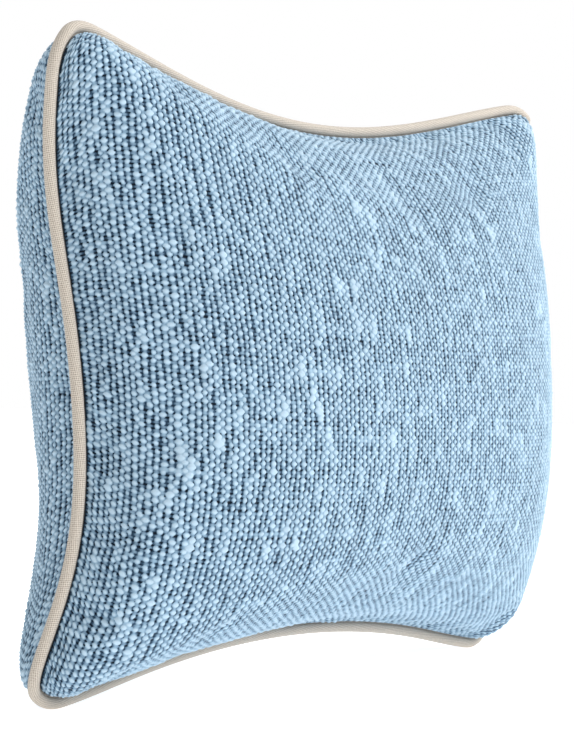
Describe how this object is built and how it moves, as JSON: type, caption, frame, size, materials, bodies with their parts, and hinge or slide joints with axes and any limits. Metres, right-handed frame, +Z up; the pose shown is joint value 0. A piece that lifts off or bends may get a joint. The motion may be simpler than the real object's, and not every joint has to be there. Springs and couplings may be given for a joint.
{
  "type": "lumbar support cushion",
  "caption": "Upright rectangular knife-edge cushion with a piped seam, woven cover, zip in the bottom seam and a filled inner pad, for supporting the lower back.",
  "frame": {"origin": "on the floor under the middle of the cushion, at the centre of its width and depth", "axes": "+X along the width, +Z up, the front panel faces -Y and the flatter back, which leans on the chair, faces +Y"},
  "size_m": [0.5072, 0.1761, 0.3559],
  "materials": {
    "slub_cloth": "chunky slub plain weave, matt",
    "piping_twill": "fine bias-cut twill, matt",
    "cotton_cord": "twisted, matt",
    "zip_tape": "narrow woven tape, matt",
    "nylon_coil": "satin",
    "zinc": "brushed, satin",
    "cotton_sheeting": "plain weave, matt",
    "polyester_fibre": "soft loft, matt"
  },
  "bodies": {
    "cushion": {"front_panel": "slub_cloth", "back_panel": "slub_cloth", "piping_cover": "piping_twill", "piping_cord": "cotton_cord", "zip_tape_front": "zip_tape", "zip_tape_back": "zip_tape", "zip_coil_front": "nylon_coil", "zip_coil_back": "nylon_coil", "zip_stop_closed": "zinc", "zip_stop_open": "zinc", "insert_front_panel": "cotton_sheeting", "insert_back_panel": "cotton_sheeting", "insert_filling": "polyester_fibre"},
    "slider": {"zip_slider": "zinc"},
    "pull_tab": {"zip_pull_tab": "zinc"}
  },
  "joints": [
    {"name": "zip_travel", "type": "hinge", "parent": "cushion", "child": "slider", "pos_m": [0, 0.0132, -0.97357], "axis": [0, -1, 0], "range_deg": [0, 15.99]},
    {"name": "pull_tab_swing", "type": "hinge", "parent": "slider", "child": "pull_tab", "pos_m": [0.13945, 0.0132, 0.01942], "axis": [0, -1, 0], "range_deg": [0, 180]}
  ]
}
